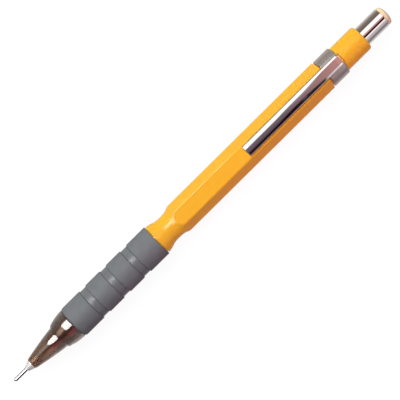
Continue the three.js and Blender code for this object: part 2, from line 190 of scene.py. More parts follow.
def cut(piece, low, high):
    """Cuts a box out of a piece. The corners are (station, side, height)."""
    bm = bmesh.new()
    bmesh.ops.create_cube(bm, size=1)
    a, b = place(*low), place(*high)
    for vert in bm.verts:
        vert.co = Vector(a[k] + (vert.co[k] + 0.5) * (b[k] - a[k]) for k in range(3))
    mesh = bpy.data.meshes.new("cutter")
    bm.to_mesh(mesh)
    bm.free()
    cutter = bpy.data.objects.new("cutter", mesh)
    bpy.context.scene.collection.objects.link(cutter)
    modifier = piece.modifiers.new("cut", "BOOLEAN")
    modifier.object, modifier.operation, modifier.solver = cutter, "DIFFERENCE", "EXACT"
    evaluated = piece.evaluated_get(bpy.context.evaluated_depsgraph_get())
    result = bpy.data.meshes.new_from_object(evaluated)
    piece.modifiers.clear()
    bm = bmesh.new()
    bm.from_mesh(result)
    bpy.data.objects.remove(cutter)
    name = piece.name
    bpy.data.objects.remove(piece)
    return finish_mesh(name, bm)


def stands_for(piece, node, material):
    """Puts a piece in the place of its CAD node: the same body, with its own material."""
    piece.data.materials.clear()
    piece.data.materials.append(material)
    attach(piece, BODY[node])
    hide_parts(node)
    return piece


# ---------- material tools ----------


class Surface:
    """A material with one Principled shader, and short ways to add the nodes that feed it."""

    def __init__(self, name, color, roughness, metallic=0.0, **sockets):
        self.material = bpy.data.materials.new(name)
        self.material.use_nodes = True
        self.tree = self.material.node_tree
        self.shader = self.tree.nodes["Principled BSDF"]
        self.set("Base Color", (*color, 1))
        self.set("Roughness", roughness)
        self.set("Metallic", metallic)
        for socket, value in sockets.items():
            self.set(socket.replace("_", " "), value)

    def set(self, socket, value):
        self.shader.inputs[socket].default_value = value

    def node(self, kind, **inputs):
        node = self.tree.nodes.new("ShaderNode" + kind)
        for socket, value in inputs.items():
            target = node.inputs[socket.replace("_", " ")]
            if isinstance(value, bpy.types.NodeSocket):
                self.tree.links.new(value, target)
            else:
                target.default_value = value
        return node

    def noise(self, scale, detail=3.0, stretch=(1, 1, 1)):
        """Noise from 0 to 1 with about one blob per 1/scale mm, drawn out along an axis by stretch."""
        where = self.node("TexCoord").outputs["Object"]
        scaled = self.node("Mapping", Vector=where, Scale=[scale * s / MM for s in stretch])
        noise = self.node("TexNoise", Vector=scaled.outputs[0], Scale=1.0, Detail=detail, Roughness=0.5)
        return noise.outputs["Fac"]

    def remap(self, value, low, high, start=0.3, end=0.7):
        """Turns start..end of a value into low..high, clamped."""
        node = self.node("MapRange", Value=value, From_Min=start, From_Max=end, To_Min=low, To_Max=high)
        return node.outputs["Result"]

    def blend_color(self, share, first, second):
        mix = self.tree.nodes.new("ShaderNodeMix")
        mix.data_type = "RGBA"
        self.tree.links.new(share, mix.inputs["Factor"])
        colors = [socket for socket in mix.inputs if socket.type == "RGBA"]
        colors[0].default_value, colors[1].default_value = (*first, 1), (*second, 1)
        self.link(mix.outputs[2], "Base Color")

    def vary_roughness(self, share, low, high):
        self.link(self.remap(share, low, high), "Roughness")

    def bump(self, height, depth, strength):
        """Adds relief. depth is its height in mm."""
        node = self.node("Bump", Height=height, Strength=strength, Distance=depth * MM)
        self.link(node.outputs["Normal"], "Normal")

    def math(self, operation, first, second):
        node = self.tree.nodes.new("ShaderNodeMath")
        node.operation = operation
        for value, target in zip((first, second), node.inputs):
            if isinstance(value, bpy.types.NodeSocket):
                self.tree.links.new(value, target)
            else:
                target.default_value = value
        return node.outputs[0]

    def height_above_axis(self):
        """Distance from the pencil's axis, in metres."""
        where = self.node("TexCoord").outputs["Object"]
        split = self.node("SeparateXYZ", Vector=where)
        up = self.math("SUBTRACT", split.outputs["Z"], AXIS_Z)
        across = self.math("MULTIPLY", split.outputs["Y"], split.outputs["Y"])
        return self.math("SQRT", self.math("ADD", across, self.math("MULTIPLY", up, up)), 0.0)

    def link(self, output, socket):
        self.tree.links.new(output, self.shader.inputs[socket])


# ---------- materials ----------

GROOVE_RADIUS = 4.72  # of the grip's grooves, which are smoother than what lies between them
NOSE_IS_BROWN, NOSE_IS_SMOKE = 13, 17  # the stations between which the nose's tint changes


def orange_plastic():
    s = Surface("orange_plastic", (0.95, 0.44, 0.04), 0.15, Subsurface_Weight=0.3, Subsurface_Scale=0.0008)
    s.set("Specular IOR Level", 0.27)
    s.set("Subsurface Radius", (1.0, 0.6, 0.3))
    s.blend_color(s.noise(0.06), (1.0, 0.505, 0.034), (0.99, 0.48, 0.03))
    s.vary_roughness(s.noise(0.8, 4), 0.1, 0.18)
    s.bump(s.noise(1.6, 2), 0.003, 0.3)
    return s.material


def grey_rubber():
    s = Surface("grey_rubber", (0.14, 0.147, 0.153), 0.7, Specular_IOR_Level=0.2)
    s.blend_color(s.noise(0.5, 5), (0.152, 0.161, 0.168), (0.19, 0.201, 0.209))
    matt = s.remap(s.height_above_axis(), 0.36, 1.0, (GROOVE_RADIUS + 0.06) * MM, (GROOVE_RADIUS + 0.18) * MM)
    grain = s.remap(s.noise(2.0, 4), 0.58, 0.78)
    s.link(s.math("MULTIPLY", matt, grain), "Roughness")
    s.bump(s.noise(7.0, 3), 0.03, 0.5)
    return s.material


def smoke_plastic(name, front, rear, low, high, coat):
    """Tinted clear plastic whose colour changes from front to rear along the nose."""
    s = Surface(name, rear, high, Transmission_Weight=1.0, IOR=1.49)
    s.set("Coat Weight", coat)
    s.set("Coat IOR", 1.6)
    where = s.node("SeparateXYZ", Vector=s.node("TexCoord").outputs["Object"])
    start, end = place(NOSE_IS_BROWN, 0, 0).x, place(NOSE_IS_SMOKE, 0, 0).x
    along = s.remap(where.outputs["X"], 0.05, 0.95, start, end)
    share = s.math("ADD", along, s.remap(s.noise(0.3), -0.05, 0.05))
    s.blend_color(share, front, rear)
    s.vary_roughness(s.noise(1.5, 4), low, high)
    return s.material


def polished_chrome():
    s = Surface("polished_chrome", (0.86, 0.84, 0.84), 0.05, 1.0)
    s.blend_color(s.noise(0.4, 4), (0.9, 0.88, 0.88), (0.86, 0.84, 0.84))
    s.vary_roughness(s.noise(1.0, 6, (0.15, 1, 1)), 0.03, 0.08)
    s.bump(s.noise(4.0, 4, (0.05, 1, 1)), 0.0005, 0.1)
    return s.material


def grey_metal():
    s = Surface("grey_metal", (0.55, 0.51, 0.48), 0.3, 0.75)
    s.blend_color(s.noise(1.2, 5), (0.6, 0.55, 0.51), (0.5, 0.455, 0.42))
    s.vary_roughness(s.noise(3.0, 5), 0.24, 0.36)
    s.bump(s.noise(9.0, 3), 0.01, 0.4)
    return s.material


def steel(name, light, dark, low, high, metallic=1.0):
    """Turned or drawn steel, with fine rings about its axis."""
    s = Surface(name, light, high, metallic)
    s.blend_color(s.noise(2.0, 4), light, dark)
    s.vary_roughness(s.noise(5.0, 4, (3, 0.3, 0.3)), low, high)
    s.bump(s.noise(8.0, 2, (4, 0.1, 0.1)), 0.002, 0.3)
    return s.material


def brass():
    s = Surface("brass", (0.58, 0.43, 0.24), 0.25, 1.0)
    s.blend_color(s.noise(0.8, 5), (0.72, 0.54, 0.34), (0.6, 0.43, 0.25))
    s.vary_roughness(s.noise(4.0, 5, (3, 0.4, 0.4)), 0.2, 0.36)
    s.bump(s.noise(8.0, 2, (4, 0.1, 0.1)), 0.005, 0.4)
    return s.material


def moulded(name, light, dark, low, high):
    """A plain moulded plastic or rubber with a fine grain."""
    s = Surface(name, light, high)
    s.blend_color(s.noise(0.7, 4), light, dark)
    s.vary_roughness(s.noise(2.5, 4), low, high)
    s.bump(s.noise(5.0, 3), 0.015, 0.4)
    return s.material


def graphite():
    s = Surface("graphite", (0.06, 0.06, 0.065), 0.4, 0.35)
    s.blend_color(s.noise(6.0, 4), (0.07, 0.07, 0.075), (0.04, 0.04, 0.042))
    s.vary_roughness(s.noise(5.0, 4), 0.35, 0.55)
    s.bump(s.noise(9.0, 3, (0.4, 1, 1)), 0.006, 0.5)
    return s.material


ORANGE = orange_plastic()
RUBBER = grey_rubber()
SMOKE = smoke_plastic("smoke_plastic", (0.21, 0.163, 0.136), (0.16, 0.13, 0.119), 0.02, 0.05, 0.7)
FROSTED_SMOKE = smoke_plastic("frosted_smoke", (1.0, 0.7, 0.47), (0.84, 0.71, 0.67), 0.5, 0.65, 0.0)
CHROME = polished_chrome()
GREY_METAL = grey_metal()
STEEL = steel("bright_steel", (0.9, 0.9, 0.89), (0.82, 0.82, 0.81), 0.12, 0.24)
SATIN_STEEL = steel("satin_steel", (0.88, 0.87, 0.85), (0.8, 0.79, 0.77), 0.28, 0.4, metallic=0.3)
DRAWN_STEEL = steel("drawn_steel", (0.3, 0.3, 0.3), (0.24, 0.24, 0.24), 0.1, 0.18)
SPRING_STEEL = steel("spring_steel", (0.48, 0.48, 0.5), (0.38, 0.38, 0.4), 0.22, 0.4)
BRASS = brass()
BLACK_PLASTIC = moulded("black_plastic", (0.03, 0.03, 0.034), (0.02, 0.02, 0.023), 0.4, 0.55)
MILKY_PLASTIC = moulded("natural_plastic", (0.78, 0.74, 0.66), (0.7, 0.66, 0.57), 0.3, 0.45)
BLACK_RUBBER = moulded("black_rubber", (0.02, 0.02, 0.021), (0.012, 0.012, 0.013), 0.65, 0.8)
ERASER_WHITE = moulded("white_eraser", (0.86, 0.85, 0.82), (0.78, 0.77, 0.73), 0.75, 0.9)
PALE_PLASTIC = moulded("pale_plastic", (0.98, 0.76, 0.48), (0.96, 0.72, 0.43), 0.12, 0.2)
GRAPHITE = graphite()


# ---------- nose ----------

NOSE_ONLY = bpy.data.collections.new("nose_only")  # what the red cards shine on
PIPE_BORE, RETAINER_BORE = 0.32, 0.31
TIP_RIM, TIP_RIM_RADIUS = 6.7, 1.5
TIP_TAIL_RADIUS, TIP_BORE = 1.3, 0.58
RETAINER_SEAT, RETAINER_SEAT_RADIUS = 7.65, 1.02
NOSE_STEP, NOSE_SHOULDER = 17.4, 22.65
CONE_RADIUS, STEP_RADIUS, SHOULDER_RADIUS = 3.42, 3.88, 4.82
NOSE_BORE_STEPS, NOSE_BORE_RADII = (17.9, 14.0, 9.8), (2.5, 2.0, 1.65, 1.35)  # from the back
THREAD_PITCH, THREAD_DEPTH, THREAD_CREST, THREAD_RELIEF = 0.75, 0.24, 3.1, 2.95
THREAD_SHARPNESS = 1.2  # 1 is a plain V
ROWS_PER_TURN = 8


def tube_outline(front, back, radius, bore, edge=0.1):
    return soften([(front, radius, edge), (back, radius, edge), (back, bore, edge), (front, bore, edge)])


def stepped(stations, radii):
    """A bore's points: one radius for each stretch between two stations."""
    return [(station, radius) for i, radius in enumerate(radii) for station in stations[i:i + 2]]


def thread_rows(start, end, radius):
    """Points along a thread, close enough together for its turns to show."""
    count = int(abs(end - start) / THREAD_PITCH * ROWS_PER_TURN)
    return [(start + (end - start) * i / count, radius) for i in range(count + 1)]


def thread_wave(station, angle):
    """Rises from 0 to 1 and falls back once in each turn of the thread."""
    share = (station / THREAD_PITCH + angle / (2 * math.pi)) % 1
    return 1 - abs(2 * share - 1)


def lead_pipe():
    front, back, radius = span("lead_sleeve")
    outline = soften([(front, radius, 0.12), (back, radius), (back, PIPE_BORE), (front, PIPE_BORE, 0.05)])
    stands_for(spin("lead_pipe", outline, even(48)), "lead_sleeve", DRAWN_STEEL)


def tip_shell():
    front, back, _ = span("tip_cone")
    outline = soften([
        (front, 0.76, 0.04), (front + 0.16, 0.9, 0.08), (TIP_RIM - 0.42, 1.36, 0.1),
        (TIP_RIM - 0.3, TIP_RIM_RADIUS, 0.06), (TIP_RIM, TIP_RIM_RADIUS, 0.05), (TIP_RIM, TIP_TAIL_RADIUS),
        (back, TIP_TAIL_RADIUS, 0.1), (back, RETAINER_SEAT_RADIUS), (RETAINER_SEAT, RETAINER_SEAT_RADIUS),
        (RETAINER_SEAT, TIP_BORE), (front, TIP_BORE, 0.04),
    ])
    stands_for(spin("tip_shell", outline, even(96)), "tip_cone", SATIN_STEEL)


def retainer():
    front, back, radius = span("lead_retainer")
    outline = tube_outline(front, back, radius, RETAINER_BORE, 0.12)
    stands_for(spin("retainer", outline, even(48)), "lead_retainer", BLACK_RUBBER)


def frost_bore(piece):
    """Gives the faces that look towards the axis the frosted material."""
    piece.data.materials.append(FROSTED_SMOKE)
    for face in piece.data.polygons:
        away = Vector((0, face.center.y, face.center.z - AXIS_Z))
        if face.normal.dot(away) < 0:
            face.material_index = 1


def nose_shell():
    front, back, _ = span("nose_cone")
    thread_start, thread_end = NOSE_SHOULDER + 0.9, back - 0.4
    shoulder = (NOSE_SHOULDER - 0.1, SHOULDER_RADIUS)
    outside = [
        (front, 1.58),
        *curve((front + 0.12, 1.7), (NOSE_STEP - 3.6, 3.1), (NOSE_STEP - 0.3, CONE_RADIUS), 24),
        (NOSE_STEP - 0.2, CONE_RADIUS - 0.01), (NOSE_STEP, CONE_RADIUS - 0.1),
        (NOSE_STEP, STEP_RADIUS - 0.16),
        *curve((NOSE_STEP + 0.15, STEP_RADIUS), (NOSE_STEP + 2.6, 4.8), shoulder, 14),
        (NOSE_SHOULDER, SHOULDER_RADIUS - 0.08), (NOSE_SHOULDER, THREAD_RELIEF),
        (thread_start - 0.1, THREAD_RELIEF),
        *thread_rows(thread_start, thread_end, THREAD_CREST), (back, 2.9),
    ]
    bore = stepped((back, *NOSE_BORE_STEPS, front), NOSE_BORE_RADII)

    def screw(station, radius, angle):
        if radius < THREAD_CREST or not thread_start <= station <= thread_end:
            return radius
        return radius - THREAD_DEPTH * thread_wave(station, angle) ** THREAD_SHARPNESS

    piece = stands_for(spin("nose_shell", outside + bore, even(128), screw), "nose_cone", SMOKE)
    NOSE_ONLY.objects.link(piece)
    frost_bore(piece)


# ---------- grip, barrel, ring and tail ----------

GROOVES, GROOVE_HALF_WIDTH, GROOVE_LINE_DEPTH = (31.1, 38.95, 46.8), 1.22, 0.12
GRIP_BORE = 4.2
COLLAR, COLLAR_RADIUS, WAIST, WAIST_RADIUS = 55.2, 4.8, 59.8, 3.89
GRIP_SEAT_RADIUS, COLLAR_STEP_RADIUS = 4.15, 4.35
NECK_END, FLARE_END = (COLLAR + 2.6, 4.12), (62.4, 4.16)
HEX_FRONT, HEX_CORNER, HEX_ROUNDING, HEX_BLEND = 63.6, 4.625, 0.8, 0.16
PAST_HEX = HEX_CORNER + 0.25  # a radius so large that the hexagon decides the shape
BODY_STATIONS = (66, 72, 80, 90, 100, 110, 116)
BARREL_BORE_STEPS, BARREL_BORE_RADII = (108, 32.4), (3.4, 2.75, 3.6)  # from the back
INSERT_BORE, INSERT_CREST, INSERT_THREAD_DEPTH, INSERT_PLAIN_END = 3.3, 3.15, 0.2, 0.5


def grip():
    front, back, radius = span("grip_sleeve")
    wall = [
        (GROOVE_HALF_WIDTH, radius, 0.12),
        (GROOVE_HALF_WIDTH - 0.1, GROOVE_RADIUS - GROOVE_LINE_DEPTH, 0.03),
        (GROOVE_HALF_WIDTH - 0.24, GROOVE_RADIUS, 0.06),
    ]
    corners = [(front, radius - 0.38, 0.1), (front + 0.4, radius, 0.3)]
    for centre in GROOVES:
        corners += [(centre - out, height, setback) for out, height, setback in wall]
        corners += [(centre + out, height, setback) for out, height, setback in reversed(wall)]
    corners += [(back, radius, 0.18), (back, GRIP_BORE), (front, GRIP_BORE)]
    stands_for(spin("grip", soften(corners, 6), even(160)), "grip_sleeve", RUBBER)


def hexagon_radius(angle):
    """From the axis to the rounded hexagon, whose flats face up and down."""
    centre = HEX_CORNER - HEX_ROUNDING
    flat = centre * math.cos(math.pi / 6) + HEX_ROUNDING
    off = abs((angle + math.pi / 6) % (math.pi / 3) - math.pi / 6)
    arc_end = math.atan2(HEX_ROUNDING * 0.5, centre + HEX_ROUNDING * math.cos(math.pi / 6))
    if off < arc_end:
        return centre * math.cos(off) + math.sqrt(HEX_ROUNDING**2 - (centre * math.sin(off)) ** 2)
    return flat / math.cos(math.pi / 6 - off)


def hexagon_angles(steps=12, edge=math.radians(8)):
    """Angles round the hexagon that crowd together at its rounded corners."""
    flat = math.pi / 3 - 2 * edge
    angles = []
    for side in range(6):
        corner = side * math.pi / 3
        angles += [corner - edge + 2 * edge * i / steps for i in range(steps)]
        angles += [corner + edge + flat * i / steps for i in range(steps)]
    return angles


def smooth_least(a, b, softness):
    """The smaller of two numbers, rounded off where they cross."""
    share = max(0.0, min(1.0, 0.5 + 0.5 * (b - a) / softness))
    return b + (a - b) * share - softness * share * (1 - share)


def barrel_shell():
    front, back, _ = span("barrel")
    collar_top = (COLLAR + 0.15, COLLAR_RADIUS - 0.06)
    waist_end = (WAIST + 0.4, WAIST_RADIUS)
    lip = back - 0.24
    outside = [
        (front, GRIP_SEAT_RADIUS - 0.1), (front + 0.1, GRIP_SEAT_RADIUS), (COLLAR, GRIP_SEAT_RADIUS),
        (COLLAR, COLLAR_STEP_RADIUS), (COLLAR + 0.15, COLLAR_STEP_RADIUS),
        *curve(collar_top, (COLLAR + 1.5, COLLAR_RADIUS - 0.22), NECK_END, 8),
        *curve(NECK_END, (WAIST - 1.0, WAIST_RADIUS - 0.04), waist_end, 8)[1:],
        *curve(waist_end, (WAIST + 2.0, WAIST_RADIUS + 0.04), FLARE_END, 8)[1:],
        *curve(FLARE_END, (63.2, 4.5), (HEX_FRONT + 0.6, PAST_HEX), 10)[1:],
        *[(station, PAST_HEX) for station in BODY_STATIONS], (back - 0.5, PAST_HEX),
        *curve((back - 0.5, PAST_HEX), (lip, PAST_HEX), (lip, 4.0), 8), (lip, 3.7), (back, 3.7),
    ]
    bore = stepped((back, *BARREL_BORE_STEPS, front), BARREL_BORE_RADII)

    def hexagonal(station, radius, angle):
        if station < WAIST - 2 or radius < 3.5:
            return radius
        return smooth_least(radius, hexagon_radius(angle), HEX_BLEND)

    stands_for(spin("barrel_shell", outside + bore, hexagon_angles(), hexagonal), "barrel", ORANGE)


def insert_bush():
    front, back, radius = span("thread_insert")
    thread_start, thread_end = front + INSERT_PLAIN_END, back - INSERT_PLAIN_END
    outline = [
        (front, radius - 0.1), (front + 0.1, radius), (back, radius), (back, INSERT_BORE),
        *thread_rows(thread_end, thread_start, INSERT_CREST), (front, INSERT_BORE),
    ]

    def screw(station, own, angle):
        if own > INSERT_CREST or not thread_start <= station <= thread_end:
            return own
        return own + INSERT_THREAD_DEPTH * thread_wave(station, angle)

    stands_for(spin("insert_bush", outline, even(96), screw), "thread_insert", BRASS)


SLOT_FRONT, SLOT_BACK, SLOT_HALF_WIDTH = 124.9, 126.2, 1.5
SLOT_FLOOR, ABOVE_RING = 3.36, 6
RING_BORE = 3.38
TAIL_SHOULDER, TAIL_SPIGOT_RADIUS = 125.7, 3.3
TAIL_SEAT, TAIL_BORE, TAIL_FRONT_BORE = 126, 3.05, 2.25


def slot_cut(piece):
    """Cuts the slot that the clip's tang goes into."""
    low = (SLOT_FRONT, -SLOT_HALF_WIDTH, SLOT_FLOOR)
    high = (SLOT_BACK, SLOT_HALF_WIDTH, ABOVE_RING)
    return cut(piece, low, high)


def ring_band():
    front, back, radius = span("clip_ring")
    outline = soften([
        (front, radius, 0.16), (back, radius, 0.38), (back, RING_BORE, 0.05), (front, RING_BORE, 0.05),
    ], 5)
    stands_for(slot_cut(spin("ring_band", outline, even(128))), "clip_ring", GREY_METAL)


def tail_shell():
    front, back, radius = span("tail_cap")
    outline = soften([
        (front, TAIL_SPIGOT_RADIUS, 0.15), (TAIL_SHOULDER, TAIL_SPIGOT_RADIUS), (TAIL_SHOULDER, radius, 0.12),
        (back, radius, 1.0), (back, TAIL_BORE, 0.12), (TAIL_SEAT, TAIL_BORE), (TAIL_SEAT, TAIL_FRONT_BORE),
        (front, TAIL_FRONT_BORE),
    ], 8)
    stands_for(slot_cut(spin("tail_shell", outline, even(128))), "tail_cap", ORANGE)


# ---------- clip ----------

CLIP_THICKNESS, CLIP_EDGE_THICKNESS, CLIP_BEVEL = 0.55, 0.22, 0.18
CLIP_CROWN = 0.3  # how far the strip's edges lie below its middle
CROWN_FADE_START, CROWN_FADE_END = 101.0, 119.0
CREASE_INSET, CREASE_WIDTH = 1.05, 0.42  # the steeper band beside the flat middle
CREASE_SLOPE, EDGE_SLOPE = 0.36, 0.19  # of the band, and of what lies outside it
ROOT_INSET, CREASE_TURNS_OUT = 0.68, 0.6  # the band's inset at the root, and the flatness where it turns out
CLIP_DIP = 0.2  # how far the free end lies below the root
PAD_CENTRE, PAD_HALF_LENGTH, PAD_DEPTH = 2.7, 1.4, 0.27  # the pad under the free end, from that end
TANG_HALF_WIDTH, TANG_BEND, TANG_STEPS, NARROWING_STEPS = 1.35, 1, 8, 3
CLIP_END_CHAMFER, CLIP_END_DROP, CLIP_END_NARROWING = 0.1, 0.1, 0.12
CLIP_BEVEL_FALL = 0.8  # of the bevel's width
CLIP_LOWER_BEVEL, CLIP_UNDER_INSET = 0.06, 0.2
CLIP_STEPS, TOP_STEPS, UNDER_STEPS = 60, 24, 10


def flatness(station):
    """0 where the strip is rounded across its width, 1 where it is flat near its root."""
    share = (station - CROWN_FADE_START) / (CROWN_FADE_END - CROWN_FADE_START)
    return max(0.0, min(1.0, share))


def clip_drop(side, half, flat):
    """How far the strip's top falls, at a distance from its centre line."""
    rounded = CLIP_CROWN * (side / half) ** 2
    outward = max(0.0, flat - CREASE_TURNS_OUT) / (1 - CREASE_TURNS_OUT)
    inset = CREASE_INSET + (ROOT_INSET - CREASE_INSET) * outward
    past = max(0.0, side - (half - inset))
    creased = CREASE_SLOPE * min(past, CREASE_WIDTH) + EDGE_SLOPE * max(past - CREASE_WIDTH, 0.0)
    return rounded + (creased - rounded) * flat


def clip_section(half, flat, pad):
    """The strip's section as (side, rise) points, from one edge over the top to the other and back below."""
    top = []
    for i in range(-TOP_STEPS, TOP_STEPS + 1):
        side = (half - CLIP_BEVEL) * i / TOP_STEPS
        top.append((side, CLIP_THICKNESS / 2 - clip_drop(abs(side), half, flat)))
    edge_top = top[-1][1] - CLIP_BEVEL * CLIP_BEVEL_FALL
    edge_low = edge_top - CLIP_EDGE_THICKNESS
    right = [(half, edge_top), (half, edge_low + CLIP_LOWER_BEVEL), (half - CLIP_LOWER_BEVEL, edge_low)]
    left = [(-side, rise) for side, rise in reversed(right)]
    under = []
    for i in range(UNDER_STEPS, -UNDER_STEPS - 1, -1):
        outward = (i / UNDER_STEPS) ** 2
        side = (half - CLIP_UNDER_INSET) * i / UNDER_STEPS
        hollow = (edge_low + CLIP_THICKNESS / 2) * outward
        under.append((side, -CLIP_THICKNESS / 2 + hollow - pad * (1 - outward)))
    return top + right + under + left


def clip_line(free, tang, middle, half_width, foot):
    """The strip's middle line in side view: (station, height, lean, half width, flatness, pad) points."""
    bend = tang - TANG_BEND
    line = []
    shares = [0, CLIP_END_CHAMFER / (bend - free)] + [i / CLIP_STEPS for i in range(1, CLIP_STEPS + 1)]
    for share in shares:
        station = free + share * (bend - free)
        from_pad = (station - free - PAD_CENTRE) / PAD_HALF_LENGTH
        pad = max(0.0, 1 - from_pad**2) ** 1.5 * PAD_DEPTH
        end = max(0.0, 1 - (station - free) / CLIP_END_CHAMFER)
        height = middle - CLIP_DIP * (1 - share) - CLIP_END_DROP * end
        half = half_width - CLIP_END_NARROWING * end
        line.append((station, height, 0, half, flatness(station), pad))
    for i in range(1, TANG_STEPS + 1):
        turn = i / TANG_STEPS * math.pi / 2
        share = max(0, i - TANG_STEPS + NARROWING_STEPS) / NARROWING_STEPS
        half = half_width + (TANG_HALF_WIDTH - half_width) * share
        station = bend + TANG_BEND * math.sin(turn)
        height = middle - TANG_BEND * (1 - math.cos(turn))
        line.append((station, height, turn, half, 1.0, 0))
    line.append((tang, foot, math.pi / 2, TANG_HALF_WIDTH, 1.0, 0))
    return line


def clip_strip():
    low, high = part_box("clip")
    free = (low.x - LEAD_TIP_X) / MM
    tang = (high.x - LEAD_TIP_X) / MM - CLIP_THICKNESS / 2
    half_width = (high.y - low.y) / 2 / MM
    foot = (low.z - AXIS_Z) / MM
    middle = (high.z - AXIS_Z) / MM - CLIP_THICKNESS / 2
    bm = bmesh.new()
    sections = []
    for station, height, lean, half, flat, pad in clip_line(free, tang, middle, half_width, foot):
        ring = []
        for side, rise in clip_section(half, flat, pad):
            where = place(station + math.sin(lean) * rise, side, height + math.cos(lean) * rise)
            ring.append(bm.verts.new(where))
        sections.append(ring)
    skin(bm, sections)
    stands_for(finish_mesh("clip_strip", bm), "clip", CHROME)


# ---------- mechanism ----------

STEM_BORE, RESERVOIR_BORE = 0.45, 1.6
GUIDE_RADIUS, GUIDE_BORE, GUIDE_MOUTH = 2.4, 2.1, 1.25
FLANGE_FRONT, FLANGE_BACK, SPRING_SEAT = 31.1, 32.25, 20
CLUTCH_BORE, CLUTCH_MOUTH, CLUTCH_TAPER_END = 1.1, 1.32, 17.2
SOCKET_END, SOCKET_RADIUS, SOCKET_FLOOR = 35.4, 1.15, 38
PLUG_RADIUS, FUNNEL_RADIUS, LEAD_HOLE = 1.55, 1.05, 0.5


def simple_tube(name, node, bore, material):
    front, back, radius = span(node)
    stands_for(spin(name, tube_outline(front, back, radius, bore, 0.08), even(64)), node, material)


def guide_tube():
    front, back, flange = span("mechanism_sleeve")
    outline = soften([
        (front, GUIDE_RADIUS, 0.1), (FLANGE_FRONT, GUIDE_RADIUS), (FLANGE_FRONT, flange, 0.06),
        (FLANGE_BACK, flange, 0.06), (FLANGE_BACK, GUIDE_RADIUS), (back, GUIDE_RADIUS, 0.05),
        (back, GUIDE_BORE, 0.05), (SPRING_SEAT, GUIDE_BORE), (SPRING_SEAT, GUIDE_MOUTH),
        (front, GUIDE_MOUTH, 0.1),
    ])
    stands_for(spin("guide_tube", outline, even(96)), "mechanism_sleeve", BRASS)


def clutch():
    front, back, radius = span("clutch_ring")
    outline = soften([
        (front, radius, 0.18), (back, radius, 0.1), (back, CLUTCH_BORE), (CLUTCH_TAPER_END, CLUTCH_BORE),
        (front, CLUTCH_MOUTH, 0.05),
    ])
    stands_for(spin("clutch", outline, even(64)), "clutch_ring", BRASS)


def connector():
    front, back, radius = span("tube_connector")
    outline = soften([
        (front, radius, 0.1), (SOCKET_END, radius, 0.1), (SOCKET_END, PLUG_RADIUS), (back, PLUG_RADIUS, 0.3),
        (back, FUNNEL_RADIUS, 0.05), (back - 0.8, LEAD_HOLE), (SOCKET_FLOOR, LEAD_HOLE),
        (SOCKET_FLOOR, SOCKET_RADIUS), (front, SOCKET_RADIUS),
    ])
    stands_for(spin("connector", outline, even(64)), "tube_connector", BLACK_PLASTIC)


def lead(node, worn):
    """A graphite rod. worn is how far the edge of its front end is rubbed away."""
    low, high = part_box(node)
    front, back, radius = span(node)
    outline = soften([
        (front, 0), (front, radius - worn, 0.05), (front + worn, radius, 0.05),
        (back, radius, 0.03), (back, 0),
    ])
    piece = spin(node + "_rod", outline, even(24))
    centre = (low + high) / 2
    piece.data.transform(Matrix.Translation((0, centre.y, centre.z - AXIS_Z)))
    stands_for(piece, node, GRAPHITE)


SPRING_TURNS, WIRE_RADIUS, WIRE_SIDES, TURN_STEPS = 11, 0.17, 12, 28
CLOSED_TURNS, CLOSED_PITCH = 1.2, 2.1 * WIRE_RADIUS  # at each end, where turns lie against each other


def spring():
    low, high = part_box("return_spring")
    front, back = (low.x - LEAD_TIP_X) / MM + WIRE_RADIUS, (high.x - LEAD_TIP_X) / MM - WIRE_RADIUS
    coil = (high.y - low.y) / 2 / MM - WIRE_RADIUS
    open_pitch = (back - front - 2 * CLOSED_TURNS * CLOSED_PITCH) / (SPRING_TURNS - 2 * CLOSED_TURNS)
    bm = bmesh.new()
    rings = []
    for i in range(SPRING_TURNS * TURN_STEPS + 1):
        turn = i / TURN_STEPS
        closed = min(turn, CLOSED_TURNS) + max(0, turn - (SPRING_TURNS - CLOSED_TURNS))
        station = front + closed * CLOSED_PITCH + (turn - closed) * open_pitch
        angle = 2 * math.pi * turn
        ring = []
        for around in even(WIRE_SIDES):
            reach = coil + WIRE_RADIUS * math.cos(around)
            along = station + WIRE_RADIUS * math.sin(around)
            ring.append(bm.verts.new(place(along, reach * math.cos(angle), reach * math.sin(angle))))
        rings.append(ring)
    skin(bm, rings)
    piece = stands_for(finish_mesh("spring_coil", bm), "return_spring", SPRING_STEEL)
    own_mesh(piece)


# ---------- button and eraser ----------

BUTTON_BORE, BUTTON_RIM, END_PLUG_RADIUS = 2.42, 142.35, 2.37
CUP_FRONT, CUP_PLUG_RADIUS, CUP_SHOULDER = 130.4, 1.1, 131.1
CUP_BORE, CUP_FLOOR, CUP_GROOVE = 2.05, 132, 133.35


def button_tube():
    front, back, radius = span("button_cap")
    outline = soften([
        (front, radius, 0.2), (back, radius, 0.16), (back, BUTTON_BORE, 0.05), (front, BUTTON_BORE, 0.1),
    ], 6)
    stands_for(spin("button_tube", outline, even(128)), "button_cap", CHROME)


def button_dome():
    front, back, radius = span("button_end")
    outline = [
        (front, 0), (front, END_PLUG_RADIUS - 0.27), (front + 0.3, END_PLUG_RADIUS),
        (BUTTON_RIM, END_PLUG_RADIUS), (BUTTON_RIM, radius - 0.08), (BUTTON_RIM + 0.08, radius),
        (BUTTON_RIM + 0.5, radius),
        *curve((BUTTON_RIM + 0.75, radius - 0.06), (back - 0.12, radius - 0.3), (back, 0), 16),
    ]
    stands_for(spin("button_dome", outline, even(128)), "button_end", PALE_PLASTIC)


